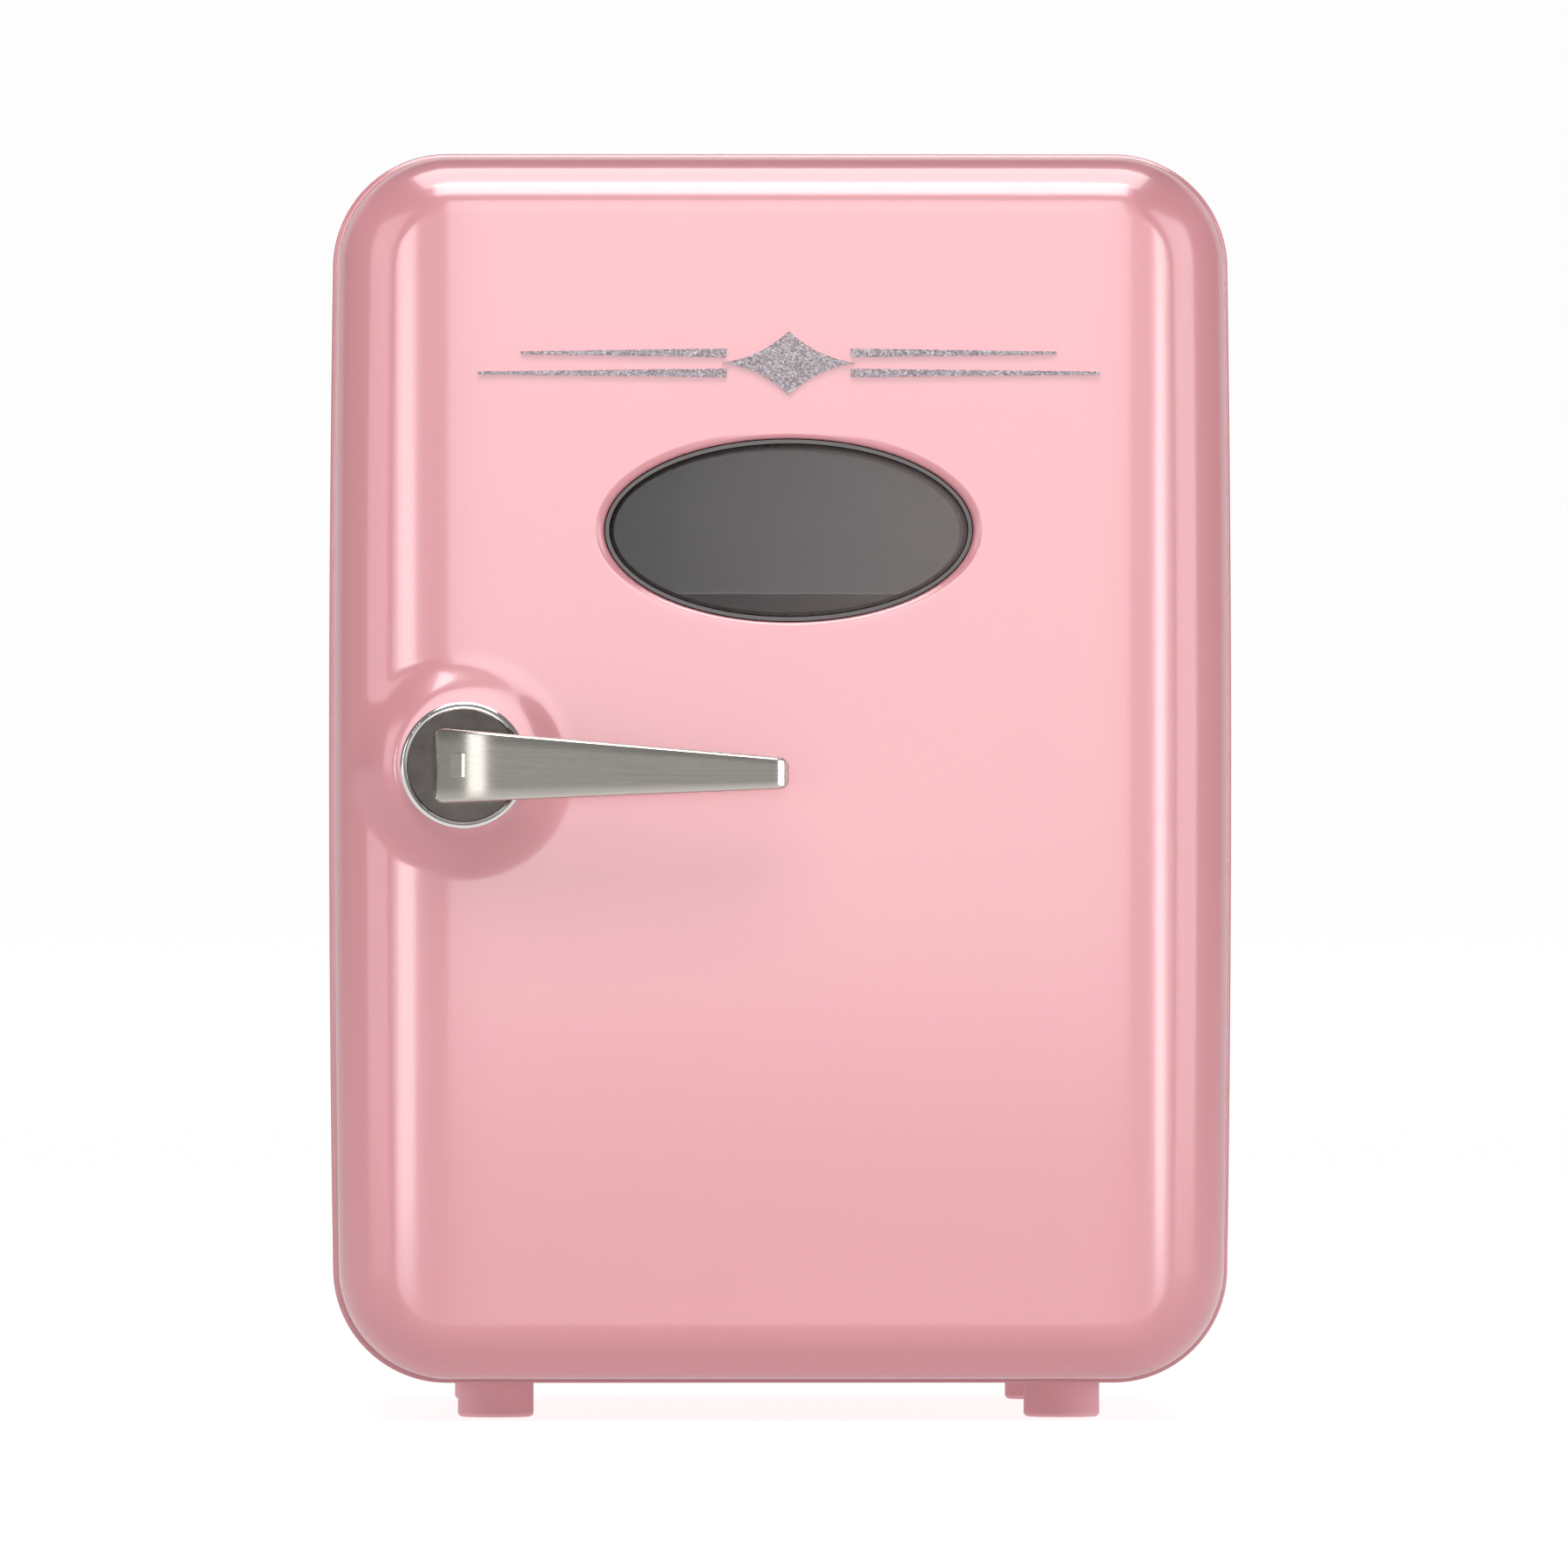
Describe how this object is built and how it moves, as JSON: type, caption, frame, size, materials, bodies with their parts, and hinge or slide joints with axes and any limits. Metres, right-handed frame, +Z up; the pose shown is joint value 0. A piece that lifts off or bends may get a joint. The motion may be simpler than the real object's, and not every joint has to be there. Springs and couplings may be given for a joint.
{
  "type": "mini fridge",
  "caption": "Counter-top thermoelectric mini fridge with a domed hinged door, oval window, pull lever, latch, removable shelf, fans and a rear power panel.",
  "frame": {"origin": "on the floor, under the middle of the fridge's overall box", "axes": "+Z up, -Y to the front (the door), +X to the right as seen from the front"},
  "size_m": [0.19, 0.254, 0.2663],
  "materials": {
    "body_pink": "gloss moulded ABS",
    "cover_pink": "fine matt moulded ABS",
    "foot_pink": "soft matt rubber",
    "liner_white": "semi-gloss",
    "shelf_clear": "frosted",
    "foam": "expanded bead foam",
    "zinc_steel": "zinc plated",
    "hinge_metal": "painted to match the body",
    "satin_nickel": "satin nickel plate",
    "chrome_trim": "polished",
    "dark_mirror": "black nickel plate",
    "silver_glitter": "silver glitter foil",
    "smoked_pane": "smoked acrylic",
    "clear_pane": "clear acrylic",
    "sleeve_grey": "semi-gloss",
    "gasket_grey": "soft PVC",
    "sink_aluminium": "extruded",
    "fan_black": "glass-filled nylon",
    "module_ceramic": "alumina ceramic",
    "board_green": "solder mask",
    "coil_black": "tape and sleeve",
    "socket_black": "moulded",
    "latch_nylon": "acetal"
  },
  "bodies": {
    "cabinet": {"cabinet_shell": "body_pink", "front_frame": "body_pink", "inner_liner": "liner_white", "insulation": "foam", "rear_cover": "cover_pink", "rear_cover_screws": "zinc_steel", "foot_front_left": "foot_pink", "foot_front_right": "foot_pink", "foot_rear_left": "foot_pink", "foot_rear_right": "foot_pink", "foot_screws": "zinc_steel", "hinge_arm_lower": "hinge_metal", "hinge_arm_upper": "hinge_metal", "hinge_screws": "zinc_steel", "strike_plate": "zinc_steel", "strike_screws": "zinc_steel", "cold_fan_cover": "liner_white", "cold_cover_screws": "zinc_steel", "cold_fan_frame": "fan_black", "cold_fan_screws": "zinc_steel", "cold_heatsink": "sink_aluminium", "cold_block": "sink_aluminium", "thermoelectric_module": "module_ceramic", "hot_heatsink": "sink_aluminium", "clamp_screws": "zinc_steel", "hot_fan_frame": "fan_black", "hot_fan_screws": "zinc_steel", "power_board": "board_green", "board_screws": "zinc_steel", "transformer": "coil_black", "capacitors": "coil_black", "ac_inlet": "socket_black", "dc_inlet": "socket_black", "mode_switch_body": "socket_black"},
    "door": {"door_shell": "body_pink", "door_liner": "liner_white", "door_gasket": "gasket_grey", "door_insulation": "foam", "liner_screws": "zinc_steel", "hinge_pin_lower": "zinc_steel", "hinge_pin_upper": "zinc_steel", "window_sleeve": "sleeve_grey", "window_outer_pane": "smoked_pane", "window_inner_pane": "clear_pane", "badge": "silver_glitter", "escutcheon_ring": "chrome_trim", "escutcheon_plate": "dark_mirror", "lever_pin": "zinc_steel", "latch_housing": "socket_black", "latch_spring": "zinc_steel"},
    "lever": {"lever": "satin_nickel"},
    "latch": {"latch_slider": "latch_nylon"},
    "shelf": {"shelf": "shelf_clear"},
    "cold_fan": {"cold_fan_rotor": "fan_black"},
    "hot_fan": {"hot_fan_rotor": "fan_black"},
    "mode_switch": {"mode_switch_slider": "latch_nylon"}
  },
  "joints": [
    {"name": "door_hinge", "type": "hinge", "parent": "cabinet", "child": "door", "pos_m": [0.0888, -0.0865, 0.137], "axis": [0, 0, 1], "range_deg": [0, 105]},
    {"name": "lever_pull", "type": "hinge", "parent": "door", "child": "lever", "pos_m": [-0.0685, -0.1175, 0.1376], "axis": [0, 0, -1], "range_deg": [0, 12], "stiffness_Nm_per_rad": 0.3, "springref_deg": -5.73},
    {"name": "latch_slide", "type": "slide", "parent": "door", "child": "latch", "axis": [1, 0, 0], "range_m": [0, 0.00415], "deforming": ["latch_spring"]},
    {"name": "shelf_slide", "type": "slide", "parent": "cabinet", "child": "shelf", "axis": [0, -1, 0], "range_m": [0, 0.01]},
    {"name": "cold_fan_spin", "type": "hinge", "parent": "cabinet", "child": "cold_fan", "pos_m": [0, 0.059, 0.13], "axis": [0, 1, 0], "continuous": true},
    {"name": "hot_fan_spin", "type": "hinge", "parent": "cabinet", "child": "hot_fan", "pos_m": [0, 0.112, 0.13], "axis": [0, 1, 0], "continuous": true},
    {"name": "mode_select", "type": "slide", "parent": "cabinet", "child": "mode_switch", "axis": [1, 0, 0], "range_m": [-0.003, 0.003]}
  ],
  "couplings": [
    {"joint": "latch_slide", "follows": "lever_pull", "m_per_rad": 0.0195}
  ]
}
